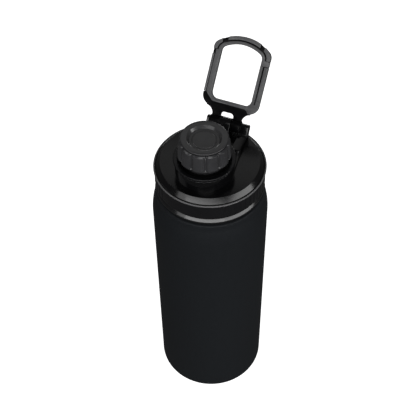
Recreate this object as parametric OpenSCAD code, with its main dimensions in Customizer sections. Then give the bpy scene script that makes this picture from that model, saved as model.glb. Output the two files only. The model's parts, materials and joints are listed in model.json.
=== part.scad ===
// Insulated water bottle: double-wall steel body, screw lid with a spout,
// screw cap over the spout, and a carabiner handle hinged to the lid.
// Millimetres. +Z is up, the origin is on the floor under the bottle's axis,
// +Y points to the handle's hinge and -Y to the spout.

/* [Bottle body] */
// Outside radius of the straight wall
body_r = 36.5; // [36.2:0.1:37]
// Height of the bottle's lip
lip_z = 183.2; // [150:0.1:240]
// Outside radius of the neck above the shoulder
neck_r = 34.2; // [34:0.1:34.6]
// Radius of the shoulder's curve, seen from the side
shoulder_curve = 50; // [40:1:55]
// Thickness of the steel walls
wall = 0.5; // [0.4:0.1:0.7]
// Inside radius of the mouth
mouth_r = 29.7; // [29.6:0.1:29.8]

/* [Screw threads] */
// Rise of both threads in one turn
pitch = 4; // [3.6:0.1:4.4]
// Width of a thread ridge where it leaves the wall
ridge_w = 1.7; // [1.4:0.1:1.8]

/* [Lid] */
// Radius of the grip ring at its lower edge
grip_r = 33.9; // [33.6:0.1:34]
// Number of rib steps in a full turn of the grip ring
ribs_per_turn = 60; // [48:1:72]
// Half of the angle that each ribbed zone covers
rib_zone = 56; // [40:1:60]
// Radius of the flat deck
deck_r = 30.6; // [30:0.1:31]

/* [Spout and cap] */
// Distance of the spout's axis in front of the bottle's axis
spout_offset = 8.5; // [8:0.1:9]
// Radius of the drinking lip
lip_r = 18.7; // [18.4:0.1:18.9]
// Radius of the cap's knob at its lower edge
knob_r = 16.2; // [15.8:0.1:16.4]
// Number of finger lobes round the knob
knob_lobes = 11; // [8:1:14]

/* [Handle] */
// Angle of the handle above the horizontal at rest
handle_lean = 50; // [30:1:70]
// Width of the loop
loop_w = 36; // [35.8:0.1:36.4]
// Width of the loop's opening
opening_w = 26; // [25.8:0.1:26.2]
// Thickness of the loop
loop_t = 3.6; // [3.4:0.1:4]

/* [Hidden] */
$fn = 96;

// Bottle heights and radii
shoulder_rise = sqrt(pow(shoulder_curve, 2) - pow(shoulder_curve - (body_r - neck_r), 2));
shoulder_end = asin(shoulder_rise / shoulder_curve);
shoulder_z = lip_z - 5.2 - shoulder_rise;
corner_r = 1.5;
foot_r = 30.5;
lip_round = 1.2;
neck_wall_r = mouth_r + wall;
vessel_r = body_r - 3;
vessel_z = 5;
vessel_corner = 6;
vessel_curve = 20;
vessel_rise = sqrt(pow(vessel_curve, 2) - pow(vessel_curve - (vessel_r - neck_wall_r), 2));
vessel_end = asin(vessel_rise / vessel_curve);
plate_r = 33;
plate_z = 2.6;
port_r = 1.5;
pad_r = 25.4;
getter_r = 5;

// Lid heights, all counted up from the lip
seal_t = 1;
collar_z = lip_z + seal_t;
collar_h = 4.2;
core_z = collar_z + 4.4;
grip_z = lip_z + 6.8;
grip_top = lip_z + 18.2;
deck_z = lip_z + 21.9;
deck_t = 2.5;
core_r = 31.2;
core_wall = 2.5;
plug_r = 27.9;
plug_wall = 2;
plug_z = lip_z - 18.2;
rib_depth = 0.45;

// Spout heights and radii
boss_r = 17.7;
boss_top = lip_z + 30;
tube_r = 16.4;
bore_r = 15;
throat_r = 12.6;
seat_z = lip_z + 16.2;
spout_top = lip_z + 32.8;

// Cap heights and radii
knob_z = lip_z + 36.1;
knob_top = lip_z + 49.3;
disc_z = knob_top - 1.4;
knob_top_r = 15.2;
disc_r = 13.9;
disc_plug_r = 13;
knob_in = 14;
core_cap_r = 13.2;
core_cap_in = 11.4;
cap_seal_t = 1.2;

// Threads: the two ridges of a pair run half a pitch apart
ridge_crest_w = ridge_w / 2;
thread_bite = 0.3;
neck_crest = mouth_r - 1.2;
plug_crest = plug_r + 1.3;
bore_crest = bore_r - 1;
cap_crest = core_cap_r + 1.3;
neck_thread_z = lip_z - 11.5;
spout_thread_z = lip_z + 20.8;

// Hinge
hinge_y = 26;
hinge_z = lip_z + 28.8;
knuckle_r = 4;
ear_r = 2.9;
ear_in = 10;
ear_right = 15.2;
ear_left = 11.8;
leg_in = 4.2;
leg_out = 9.8;
barrel_half = 3.9;
pin_r = 1.54;
pin_fit = 1.56;
pin_running = 1.6;
block_h = 2.1;
wall_top = -2.4;
pin_left = 11.4;
pin_right = 13.8;
screw_x = 7;
screw_y = 15;

// Loop, in the handle's own plane: x across, y out from the hinge
loop_y0 = 8.6;
loop_y1 = 53.5;
loop_arch = 26;
loop_corner_low = 6.5;
loop_corner_top = 5;
opening_y0 = 13.4;
opening_y1 = 48.4;
opening_arch = 23;
opening_corner_low = 4;
opening_corner_top = 3.5;
rim_w = 1.9;
bar_in = 16.3;
web_t = 1.8;
web_inset = 1.2;
notch_t = 3.2;
base_top = 11;
flare_x = 14.6;
flare_y = 3.2;
flare_r = 5.4;
window_top = 6.8;

// Gate, in the same plane
gate_x = 15.5;
gate_y = 13.2;
gate_end_r = 5;
gate_top = 39;
nose_top = 42.2;
gate_gap = 0.12;
gate_open = 22;
gate_pin_r = 0.8;
gate_bore_r = 0.85;
gate_pin_l = 3;
tongue_low = -0.9;
tongue_t = 1.2;
tongue_slot = 2.2;
tongue_r = 1.6;
slot_x = 15.2;
slot_w = 0.7;
corner_line_y = 15.3;
tooth_t = 1.8;
tooth_y = 37.8;
pad_gap = 0.3;
coil_r = 1.2;
wire_r = 0.15;

// Points of an arc about [x, y], from angle a0 to a1
function arc(x, y, r, a0, a1, n = 8) =
    [for (i = [0:n]) let (a = a0 + (a1 - a0) * i / n) [x + r * cos(a), y + r * sin(a)]];

// A ridge of trapezoid section that climbs one pitch a turn. It leaves a wall at
// radius root and ends at radius crest, outside or inside that wall.
module thread_ridge(root, crest, z, turns, steps = 48) {
    count = ceil(turns * steps);
    section = [[root, -ridge_w / 2], [crest, -ridge_crest_w / 2],
               [crest, ridge_crest_w / 2], [root, ridge_w / 2]];
    points = [for (i = [0:count], s = section)
        [s[0] * cos(360 * i / steps), s[0] * sin(360 * i / steps), z + s[1] + pitch * i / steps]];
    sides = [for (i = [0:count - 1], k = [0:3])
        let (a = 4 * i + k, b = 4 * i + (k + 1) % 4)
        each [[a, b, b + 4], [a, b + 4, a + 4]]];
    last = 4 * count;
    faces = concat(sides, [[3, 2, 1], [3, 1, 0],
                           [last, last + 1, last + 2], [last, last + 2, last + 3]]);
    outward = crest > root;
    polyhedron(points, [for (f = faces) outward ? f : [f[2], f[1], f[0]]]);
}

module on_spout() translate([0, -spout_offset, 0]) children();

module on_handle() translate([0, hinge_y, hinge_z]) rotate([handle_lean, 0, 0]) children();

// A cylinder along X, centred
module cross_cylinder(r, length) rotate([0, 90, 0]) cylinder(r = r, h = length, center = true);

// A plate of the handle's plane, centred on its thickness
module handle_plate(t) translate([0, 0, -t / 2]) linear_extrude(t) children();

// ---------------------------------------------------------------- bottle body

// Outer wall, shoulder, neck and rolled lip, in one drawn sheet
module outer_shell() {
    curve_x = body_r - shoulder_curve;
    outside = concat(
        [[foot_r, 0]],
        arc(body_r - corner_r, corner_r, corner_r, -90, 0),
        arc(curve_x, shoulder_z, shoulder_curve, 0, shoulder_end, 10),
        arc(neck_r - lip_round, lip_z - lip_round, lip_round, 0, 90),
        [[neck_wall_r, lip_z]]);
    inside = concat(
        [[neck_wall_r, lip_z - wall]],
        arc(neck_r - lip_round, lip_z - lip_round, lip_round - wall, 90, 0),
        arc(curve_x, shoulder_z, shoulder_curve - wall, shoulder_end, 0, 10),
        arc(body_r - corner_r, corner_r, corner_r - wall, 0, -90),
        [[foot_r, wall]]);
    color([0.11, 0.115, 0.13]) rotate_extrude() polygon(concat(outside, inside));
}

// Inner flask with its neck and the thread that takes the lid
module inner_vessel() {
    curve_x = vessel_r - vessel_curve;
    curve_z = lip_z - 23.2;
    outside = concat(
        [[0, vessel_z]],
        arc(vessel_r - vessel_corner, vessel_z + vessel_corner, vessel_corner, -90, 0),
        arc(curve_x, curve_z, vessel_curve, 0, vessel_end),
        [[neck_wall_r, lip_z], [mouth_r, lip_z]]);
    inside = concat(
        arc(curve_x, curve_z, vessel_curve - wall, vessel_end, 0),
        arc(vessel_r - vessel_corner, vessel_z + vessel_corner, vessel_corner - wall, 0, -90),
        [[0, vessel_z + wall]]);
    color([0.72, 0.72, 0.73]) {
        rotate_extrude() polygon(concat(outside, inside));
        thread_ridge(mouth_r + thread_bite, neck_crest, neck_thread_z, 2.25);
    }
}

// Recessed plate that closes the outer shell from below
module base_plate() {
    color([0.5, 0.5, 0.51]) difference() {
        rotate_extrude() polygon([
            [0, plate_z], [26, plate_z], [27.4, wall], [plate_r, wall], [plate_r, 2 * wall],
            [27.8, 2 * wall], [26.4, plate_z + wall], [0, plate_z + wall]]);
        cylinder(r = port_r, h = vessel_z);
    }
}

// Soft disc in the recess, flush with the foot, with a pocket over the port's cover
module base_pad() {
    color([0.09, 0.09, 0.09]) difference() {
        cylinder(r = pad_r, h = plate_z);
        translate([0, 0, plate_z - wall - 0.1]) cylinder(r = 4 * port_r + 0.2, h = plate_z);
    }
}

// Solder plug and cover disc over the port that the air was drawn out of
module vacuum_plug() {
    color([0.45, 0.45, 0.46]) {
        translate([0, 0, plate_z - wall]) cylinder(r = 4 * port_r, h = wall);
        translate([0, 0, plate_z]) cylinder(r = port_r, h = wall);
    }
}

// Pellet under the inner flask that soaks up stray gas
module getter() {
    color([0.35, 0.35, 0.36])
        translate([12, 0, vessel_z - 1]) cylinder(r = getter_r, h = 1);
}

// ------------------------------------------------------------------------ lid

// Ring seal between the lid and the bottle's lip
module lid_gasket() {
    color([0.1, 0.1, 0.1]) translate([0, 0, lip_z]) difference() {
        cylinder(r = neck_r - 1.8, h = seal_t);
        translate([0, 0, -1]) cylinder(r = mouth_r + 0.2, h = seal_t + 2);
    }
}

// Deck, bevelled edge, inner wall and the boss round the spout
module lid_top() {
    color([0.14, 0.14, 0.15]) difference() {
        union() {
            rotate_extrude() polygon([
                [0, deck_z - deck_t], [core_r - core_wall, deck_z - deck_t],
                [core_r - core_wall, core_z], [core_r, core_z], [core_r, grip_top - 0.4],
                [core_r + 2, grip_top - 0.4], [core_r + 2, grip_top + 0.2],
                [deck_r, deck_z], [0, deck_z]]);
            on_spout() translate([0, 0, deck_z - 1]) cylinder(r = boss_r, h = boss_top - deck_z + 1);
        }
        on_spout() translate([0, 0, deck_z - 2 * deck_t])
            cylinder(r = tube_r + 0.1, h = boss_top);
        for (side = [-1, 1])
            translate([side * screw_x, screw_y, deck_z - 2 * deck_t]) cylinder(r = 1.1, h = deck_t * 3);
    }
}

// Ribbed ring that the fingers turn the lid by
module grip_ring() {
    step = 360 / ribs_per_turn;
    half = floor(rib_zone / step);
    color([0.13, 0.13, 0.14]) difference() {
        rotate_extrude() polygon(concat(
            [[core_r + 0.1, grip_z], [grip_r, grip_z], [grip_r, grip_top - 0.9]],
            arc(grip_r + 0.05, grip_top - 0.35, 0.45, -40, 180, 8),
            [[grip_r - 0.4, grip_top - 0.5], [core_r + 0.1, grip_top - 0.5]]));
        for (side = [0, 180], i = [-half:half])
            rotate(side + i * step)
                translate([grip_r + 0.05, 0, grip_z - 1]) cylinder(r = rib_depth, h = 11.4, $fn = 16);
    }
}

// Round bead between the lid and the bottle
module collar_ring() {
    bead = collar_h / 2;
    color([0.16, 0.16, 0.17]) translate([0, 0, collar_z + bead]) rotate_extrude()
        intersection() {
            translate([grip_r - bead, 0]) circle(r = bead);
            translate([core_r + 0.1, -bead]) square([collar_h, collar_h]);
        }
}

// Threaded plug that screws into the neck, with the floor that faces the drink
module lid_liner() {
    color([0.2, 0.2, 0.2]) difference() {
        union() {
            rotate_extrude() polygon([
                [0, plug_z], [plug_r - 1.5, plug_z], [plug_r, plug_z + 1.5], [plug_r, collar_z],
                [core_r, collar_z], [core_r, core_z], [plug_r - plug_wall, core_z],
                [plug_r - plug_wall, plug_z + plug_wall], [0, plug_z + plug_wall]]);
            rotate(180)
                thread_ridge(plug_r - thread_bite, plug_crest, neck_thread_z - pitch, 2.5);
        }
        on_spout() translate([0, 0, plug_z - 1]) cylinder(r = throat_r + 1.7, h = plug_wall + 2);
    }
}

// Foam that fills the lid round the spout
module lid_insulation() {
    bottom = plug_z + plug_wall;
    color([0.9, 0.9, 0.86]) difference() {
        translate([0, 0, bottom])
            cylinder(r = plug_r - plug_wall - 0.1, h = deck_z - deck_t - bottom);
        on_spout() translate([0, 0, bottom - 1]) cylinder(r = tube_r + 0.2, h = deck_z);
    }
}

// Pouring tube from the drink to the drinking lip, with the thread for the cap
module spout_tube() {
    on_spout() color([0.15, 0.15, 0.16]) {
        rotate_extrude() polygon(concat(
            [[throat_r, plug_z - 0.8], [throat_r + 1.6, plug_z - 0.8], [throat_r + 1.6, seat_z - 2],
             [tube_r, seat_z - 2], [tube_r, boss_top], [boss_r, boss_top]],
            arc(lip_r - 0.7, spout_top - 0.7, 0.7, -20, 90, 6),
            arc(bore_r + 0.9, spout_top - 0.9, 0.9, 90, 180, 4),
            [[bore_r, seat_z], [throat_r, seat_z]]));
        thread_ridge(bore_r + thread_bite, bore_crest, spout_thread_z, 2);
    }
}

// ---------------------------------------------------------------------- hinge

// Plan of the block that carries the hinge: it runs from the ears to the boss
module block_plan() {
    intersection() {
        polygon([[-17.4, -5], [-ear_left, 13], [-ear_left, hinge_y + ear_r],
                 [ear_right, hinge_y + ear_r], [ear_right, 13], [17.4, -5]]);
        circle(r = deck_r - 0.2);
    }
}

// Side view of an ear: round at the pin, sloping forward down to a level wall
module ear_side() {
    foot = deck_z - hinge_z;
    circle(r = ear_r);
    polygon([[2, -2], [0, foot], [-20, foot], [-20, foot + block_h], [-17, wall_top],
             [-4, wall_top], [-1.4, 2.5], [1, 0]]);
}

// An upright slice of a side view, from x0 to x1, with the pin's centre at the origin
module hinge_slice(x0, x1) {
    translate([x0, hinge_y, hinge_z]) rotate([90, 0, 90]) linear_extrude(x1 - x0) children();
}

module hinge_block() {
    color([0.06, 0.06, 0.065]) difference() {
        union() {
            intersection() {
                translate([0, 0, deck_z]) linear_extrude(block_h) block_plan();
                translate([-20, -20, deck_z]) cube([40, 48, 10]);
            }
            hinge_slice(ear_in, ear_right) ear_side();
            hinge_slice(-ear_left, -ear_in) ear_side();
            hinge_slice(-barrel_half, barrel_half) {
                circle(r = knuckle_r);
                polygon([[2, -1], [0, deck_z - hinge_z], [-9, deck_z - hinge_z], [-2.4, 3]]);
            }
        }
        on_spout() translate([0, 0, deck_z - 1]) cylinder(r = boss_r + 0.05, h = 30);
        translate([-30, hinge_y, hinge_z]) rotate([0, 90, 0])
            cylinder(r = pin_fit, h = 30 + pin_right + 0.1);
        for (side = [-1, 1]) translate([side * screw_x, screw_y, deck_z - 1]) {
            cylinder(r = 1.3, h = 6);
            translate([0, 0, 2]) cylinder(r = 2.4, h = 6);
        }
    }
}

module hinge_pin() {
    color([0.55, 0.55, 0.56]) translate([-pin_left, hinge_y, hinge_z]) rotate([0, 90, 0])
        cylinder(r = pin_r, h = pin_left + pin_right);
}

// Two screws that hold the hinge block to the deck
module hinge_screws() {
    color([0.4, 0.4, 0.41]) for (side = [-1, 1]) translate([side * screw_x, screw_y, 0]) {
        difference() {
            translate([0, 0, deck_z + 1]) cylinder(r = 2.2, h = 1);
            translate([0, 0, deck_z + 1.5]) cylinder(r = 1, h = 1, $fn = 6);
        }
        translate([0, 0, deck_z - deck_t]) cylinder(r = 1, h = deck_t + 1.2);
    }
}

// ------------------------------------------------------------------------ cap

// Ring seal under the cap's plug
module cap_seal() {
    on_spout() color([0.75, 0.75, 0.73]) translate([0, 0, seat_z]) difference() {
        cylinder(r = core_cap_r + 0.5, h = cap_seal_t);
        translate([0, 0, -1]) cylinder(r = core_cap_r - 1.2, h = cap_seal_t + 2);
    }
}

// Fluted knob
module cap_shell() {
    taper = atan((knob_r - knob_top_r) / (disc_z - knob_z));
    on_spout() color([0.2, 0.2, 0.21]) difference() {
        rotate_extrude() polygon([
            [knob_in, knob_z], [knob_r - 0.5, knob_z], [knob_r, knob_z + 0.5],
            [knob_top_r, disc_z - 1.1], [disc_r + 0.2, disc_z - 0.1], [disc_plug_r + 0.1, disc_z - 0.1],
            [disc_plug_r + 0.1, disc_z - 1.6], [knob_in, disc_z - 2.4]]);
        for (i = [0:knob_lobes - 1])
            rotate((i + 0.5) * 360 / knob_lobes) translate([knob_r + 0.55, 0, knob_z - 1])
                rotate([0, -taper, 0]) cylinder(r = 1.25, h = knob_top - knob_z, $fn = 32);
    }
}

// Threaded plug of the cap
module cap_core() {
    bottom = seat_z + cap_seal_t;
    on_spout() color([0.17, 0.17, 0.18]) {
        rotate_extrude() polygon([
            [0, seat_z - 0.6], [core_cap_r - 1.3, seat_z - 0.6], [core_cap_r - 1.3, bottom],
            [core_cap_r, bottom], [core_cap_r, knob_z], [knob_in - 0.1, knob_z],
            [knob_in - 0.1, knob_z + 2.4], [core_cap_in, knob_z + 2.4],
            [core_cap_in, bottom + 1.6], [0, bottom + 1.6]]);
        rotate(180)
            thread_ridge(core_cap_r - thread_bite, cap_crest, spout_thread_z, 2);
    }
}

// Dished disc on top of the knob, with a shadow gap under its rim
module cap_disc() {
    on_spout() color([0.22, 0.22, 0.23]) rotate_extrude() polygon([
        [0, disc_z - 1.6], [disc_plug_r, disc_z - 1.6], [disc_plug_r, disc_z + 0.5],
        [disc_r, disc_z + 0.5], [disc_r, knob_top - 0.3], [disc_r - 0.3, knob_top],
        [10.2, knob_top], [8.8, knob_top - 2.2], [0, knob_top - 2.2]]);
}

// Foam in the cap's plug
module cap_insulation() {
    bottom = seat_z + cap_seal_t + 1.6;
    on_spout() color([0.9, 0.9, 0.86]) translate([0, 0, bottom])
        cylinder(r = core_cap_in - 0.1, h = knob_z + 2.4 - bottom);
}

// --------------------------------------------------------------------- handle

// Rectangle across the handle's axis, with round corners and an arched top. The
// arch and each top corner meet where both run the same way.
module rounded_plan(w, y0, y1, low, top, arch) {
    across = w / 2 - top;
    rise = sqrt(pow(arch - top, 2) - pow(across, 2));
    middle = y1 - arch;
    for (side = [-1, 1]) {
        translate([side * (w / 2 - low), y0 + low]) circle(r = low);
        translate([side * across, middle + rise]) circle(r = top);
    }
    translate([low - w / 2, y0]) square([w - 2 * low, low + 1]);
    translate([-w / 2, y0 + low]) square([w, middle + rise - y0 - low]);
    intersection() {
        translate([0, middle]) circle(r = arch, $fn = 180);
        polygon([[0, middle], [4 * across, middle + 4 * rise], [-4 * across, middle + 4 * rise]]);
    }
}

// The loop's outline, pulled in by inset
module loop_plan(inset = 0) {
    rounded_plan(loop_w - 2 * inset, loop_y0 + inset, loop_y1 - inset,
                 loop_corner_low - inset, loop_corner_top - inset, loop_arch - inset);
}

// The opening's outline, spread by grow
module opening_plan(grow = 0) {
    rounded_plan(opening_w + 2 * grow, opening_y0 - grow, opening_y1 + grow,
                 opening_corner_low + grow, opening_corner_top + grow, opening_arch + grow);
}

module box_plan(x0, y0, x1, y1) translate([x0, y0]) square([x1 - x0, y1 - y0]);

// The two legs and the flared web that join the loop to the hinge
module base_plan() {
    difference() {
        box_plan(-flare_x, 0, flare_x, base_top);
        for (side = [-1, 1]) {
            translate([side * flare_x, flare_y]) circle(r = flare_r);
            box_plan(side > 0 ? leg_out : -20, -1, side > 0 ? 20 : -leg_out, flare_y);
        }
        box_plan(-leg_in, -1, leg_in, window_top - 2);
        translate([2 - leg_in, window_top - 2]) circle(r = 2);
        translate([leg_in - 2, window_top - 2]) circle(r = 2);
        box_plan(2 - leg_in, -1, leg_in - 2, window_top);
    }
}

// Where the gate runs: from the seam round its pin up to the nose
module gate_zone() {
    difference() {
        box_plan(opening_w / 2 - 1, gate_y, loop_w / 2 + 1, gate_top + gate_gap);
        translate([gate_x, gate_y]) circle(r = gate_end_r - gate_gap);
    }
}

// The slot in which the gate's tongue turns
module tongue_sweep() {
    half = tongue_r + 0.25;
    translate([gate_x, gate_y]) {
        circle(r = half);
        for (a = [0, gate_open / 2, gate_open + 2]) rotate(a) box_plan(-half, 0, half, gate_end_r + 1);
    }
}

// Tab of the black web that crosses the nose into the gate's end
module tooth_plan(grow = 0) {
    box_plan(opening_w / 2 + rim_w + 0.05 - grow, tooth_y - grow,
             loop_w / 2 - web_inset + grow, nose_top + 0.5 + grow);
}

// Grey inner rim with its corners and the nose that the gate meets
module rim_plan() {
    difference() {
        intersection() {
            union() {
                opening_plan(rim_w);
                box_plan(-bar_in, 14, 0, 42.6);
                difference() {
                    union() {
                        intersection() { loop_plan(1.7); box_plan(-18, 9, 0, 17); }
                        intersection() { loop_plan(); box_plan(0, 8, 19, 19); }
                    }
                    difference() {
                        box_plan(-flare_x, 0, flare_x - 2, base_top);
                        translate([flare_x, flare_y]) circle(r = flare_r);
                    }
                }
                box_plan(12, gate_top + gate_gap, 19, nose_top);
            }
            loop_plan();
        }
        opening_plan();
        gate_zone();
    }
}

// Black web that carries the rim and the pads: the part inside the pads is thin
module web_plan(inset) {
    difference() {
        loop_plan(inset);
        opening_plan(rim_w);
        box_plan(-bar_in, 14, 0, 42.6);
        box_plan(-bar_in, 0, 30, 17);
        box_plan(6, 0, 30, nose_top);
    }
}

module notch_plan() {
    box_plan(-13.4, 40, -10.2, 60);
    box_plan(10.4, 40, 13, 60);
    box_plan(-20, 39.8, -bar_in, 42.6);
    box_plan(-20, 8, -bar_in, 16.2);
}

module corner_strip() {
    difference() {
        loop_plan();
        loop_plan(1.7);
        box_plan(-9, 0, 30, 60);
        box_plan(-30, 14, 0, 60);
    }
}

module loop_core() {
    on_handle() color([0.05, 0.05, 0.055]) difference() {
        union() {
            handle_plate(web_t) { web_plan(web_inset); tooth_plan(); }
            handle_plate(notch_t) intersection() { web_plan(0); notch_plan(); }
            handle_plate(notch_t) difference() {
                union() { base_plan(); corner_strip(); }
                opening_plan();
                rim_plan();
            }
            for (side = [-1, 1]) translate([side * (leg_in + leg_out) / 2, 0, 0])
                cross_cylinder(knuckle_r, leg_out - leg_in);
        }
        cross_cylinder(pin_running, 3 * leg_out);
    }
}

module loop_rim() {
    on_handle() color([0.3, 0.3, 0.31]) difference() {
        handle_plate(loop_t) rim_plan();
        handle_plate(tongue_slot) tongue_sweep();
        handle_plate(web_t + 0.02) tooth_plan(0.02);
        translate([gate_x, gate_y, 0]) cylinder(r = gate_pin_r, h = gate_pin_l, center = true);
        for (face = [-1, 1]) {
            translate([slot_x - slot_w / 2, corner_line_y, face * loop_t / 2 - 0.5]) cube([slot_w, 4, 1]);
            translate([slot_x, corner_line_y - 0.1, face * loop_t / 2 - 0.25]) cube([4, 0.2, 0.5]);
        }
    }
}

// A pad that clips over the web between two notches
module pad(x0, y0, x1, y1) {
    on_handle() color([0.36, 0.36, 0.37]) difference() {
        handle_plate(loop_t) intersection() {
            difference() {
                loop_plan();
                opening_plan(rim_w + 0.7);
                box_plan(-bar_in, 14, 0, 42.6);
            }
            box_plan(x0, y0, x1, y1);
        }
        handle_plate(web_t + 0.02) { web_plan(web_inset - 0.02); tooth_plan(0.02); }
    }
}

module pad_top() pad(-10.2, 40, 10.4, 60);
module pad_left_corner() pad(-20, 42.6, -13.4, 60);
module pad_right_corner() pad(13, nose_top + pad_gap, 20, 60);
module pad_side() pad(-20, 16.2, -bar_in, 39.8);

// ----------------------------------------------------------------------- gate

module gate_plan() {
    difference() {
        box_plan(opening_w / 2, gate_y, loop_w / 2, gate_top);
        translate([gate_x, gate_y]) circle(r = gate_end_r);
        box_plan(slot_x - slot_w / 2, gate_top - 0.3, loop_w, gate_top + 1);
    }
}

// Swinging bar of the loop, with a tongue that turns on the gate's pin
module gate() {
    face_z = loop_t / 2;
    on_handle() color([0.34, 0.34, 0.35]) difference() {
        union() {
            handle_plate(loop_t) gate_plan();
            translate([0, 0, tongue_low]) linear_extrude(tongue_t) {
                translate([gate_x, gate_y]) circle(r = tongue_r);
                box_plan(gate_x - tongue_r, gate_y, gate_x + tongue_r, gate_y + gate_end_r + 0.5);
            }
        }
        translate([gate_x, gate_y, 0]) cylinder(r = gate_bore_r, h = 10, center = true);
        for (face = [-1, 1]) translate([slot_x - slot_w / 2, gate_y, face * face_z - 0.5])
            cube([slot_w, gate_top - gate_y + 1, 1]);
        translate([slot_x - 0.45, tooth_y - 0.25, -tooth_t / 2 - 0.15])
            cube([loop_w, gate_top, tooth_t + 0.3]);
    }
}

module gate_pin() {
    on_handle() color([0.6, 0.6, 0.61]) translate([gate_x, gate_y, 0])
        cylinder(r = gate_pin_r, h = gate_pin_l, center = true);
}

// Coil round the pin that swings the gate shut, drawn as its separate turns
module gate_spring() {
    on_handle() color([0.7, 0.7, 0.7]) for (i = [0, 1])
        translate([gate_x, gate_y, tongue_low + tongue_t + 0.22 + i * 0.34])
            rotate_extrude() translate([coil_r, 0]) circle(r = wire_r, $fn = 16);
}

outer_shell();
inner_vessel();
base_plate();
base_pad();
vacuum_plug();
getter();
lid_gasket();
lid_top();
grip_ring();
collar_ring();
lid_liner();
lid_insulation();
spout_tube();
hinge_block();
hinge_pin();
hinge_screws();
cap_seal();
cap_shell();
cap_core();
cap_disc();
cap_insulation();
loop_core();
loop_rim();
pad_top();
pad_left_corner();
pad_right_corner();
pad_side();
gate();
gate_pin();
gate_spring();
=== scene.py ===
"""Looks of an insulated water bottle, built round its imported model.

The sizes are millimetres in the model's own frame: +Z up, the bottle's axis at the
origin, +Y towards the handle's hinge. A mesh is made in metres.
"""

import json
import logging
import math
from collections.abc import Callable, Mapping, Sequence
from dataclasses import dataclass, field
from enum import Enum

import bmesh
import bpy
from mathutils import Matrix, Vector


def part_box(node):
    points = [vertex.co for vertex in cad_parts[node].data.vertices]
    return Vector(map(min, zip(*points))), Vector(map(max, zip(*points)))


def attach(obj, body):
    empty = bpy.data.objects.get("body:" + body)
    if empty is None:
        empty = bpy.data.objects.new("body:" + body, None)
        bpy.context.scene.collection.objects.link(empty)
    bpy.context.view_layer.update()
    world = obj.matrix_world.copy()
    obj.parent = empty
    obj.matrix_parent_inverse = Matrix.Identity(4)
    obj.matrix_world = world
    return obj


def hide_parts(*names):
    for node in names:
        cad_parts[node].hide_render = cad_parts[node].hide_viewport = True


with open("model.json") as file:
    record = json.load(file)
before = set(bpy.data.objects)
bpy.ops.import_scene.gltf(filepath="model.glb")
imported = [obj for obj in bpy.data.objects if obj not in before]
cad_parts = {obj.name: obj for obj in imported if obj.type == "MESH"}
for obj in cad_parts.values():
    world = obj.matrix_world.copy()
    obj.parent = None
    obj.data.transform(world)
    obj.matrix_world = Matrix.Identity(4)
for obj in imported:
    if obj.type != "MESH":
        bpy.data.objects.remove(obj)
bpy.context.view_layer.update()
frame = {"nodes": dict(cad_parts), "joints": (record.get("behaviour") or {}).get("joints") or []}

LOG = logging.getLogger("bottle")
MM = 0.001
FULL_TURN = 2 * math.pi
Outline = list[Vector]


# --------------------------------------------------------------------- outlines


@dataclass(frozen=True)
class Corner:
    """A corner of an outline, in millimetres, and the radius that rounds it."""

    x: float
    y: float
    radius: float = 0.0


def rounded(corners: Sequence[Corner], steps: int = 4, closed: bool = True) -> Outline:
    """Runs an outline through corners and rounds the ones that have a radius.

    Args:
        corners: The corners in order.
        steps: Segments in each rounded corner.
        closed: Whether the last corner joins the first.

    Returns:
        The outline's points.
    """
    points: Outline = []
    last = len(corners) - 1
    for i, corner in enumerate(corners):
        here = Vector((corner.x, corner.y))
        if corner.radius <= 0 or (not closed and i in (0, last)):
            points.append(here)
            continue
        before, after = corners[i - 1], corners[(i + 1) % len(corners)]
        back = Vector((before.x, before.y)) - here
        ahead = Vector((after.x, after.y)) - here
        half = back.angle(ahead) / 2
        reach = min(corner.radius / math.tan(half), 0.49 * back.length, 0.49 * ahead.length)
        radius = reach * math.tan(half)
        back.normalize()
        ahead.normalize()
        middle = here + (back + ahead).normalized() * radius / math.sin(half)
        points += arc(middle, here + back * reach, here + ahead * reach, steps)
    return points


def arc(middle: Vector, start: Vector, end: Vector, steps: int) -> Outline:
    """The shorter arc about middle from start to end.

    Args:
        middle: The arc's centre.
        start: First point.
        end: Last point.
        steps: Segments in the arc.

    Returns:
        The points, both ends included.
    """
    first, final = start - middle, end - middle
    angle = math.atan2(first.y, first.x)
    sweep = (math.atan2(final.y, final.x) - angle + math.pi) % FULL_TURN - math.pi
    return [middle + first.length * Vector((math.cos(a), math.sin(a)))
            for a in (angle + sweep * k / steps for k in range(steps + 1))]


def turned_arc(x: float, y: float, radius: float, start: float, end: float, steps: int) -> Outline:
    """Points of an arc about (x, y), with its angles in degrees."""
    angles = (math.radians(start + (end - start) * k / steps) for k in range(steps + 1))
    return [Vector((x + radius * math.cos(a), y + radius * math.sin(a))) for a in angles]


def straight(points: Sequence[tuple[float, float]]) -> Outline:
    """Points given as pairs, as an outline."""
    return [Vector(p) for p in points]


# ------------------------------------------------------------------- workpieces


@dataclass(frozen=True)
class Seat:
    """Where a finished piece belongs: its body, the CAD nodes it stands for and its slot."""

    body: str
    nodes: tuple[str, ...]
    slot: str


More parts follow.
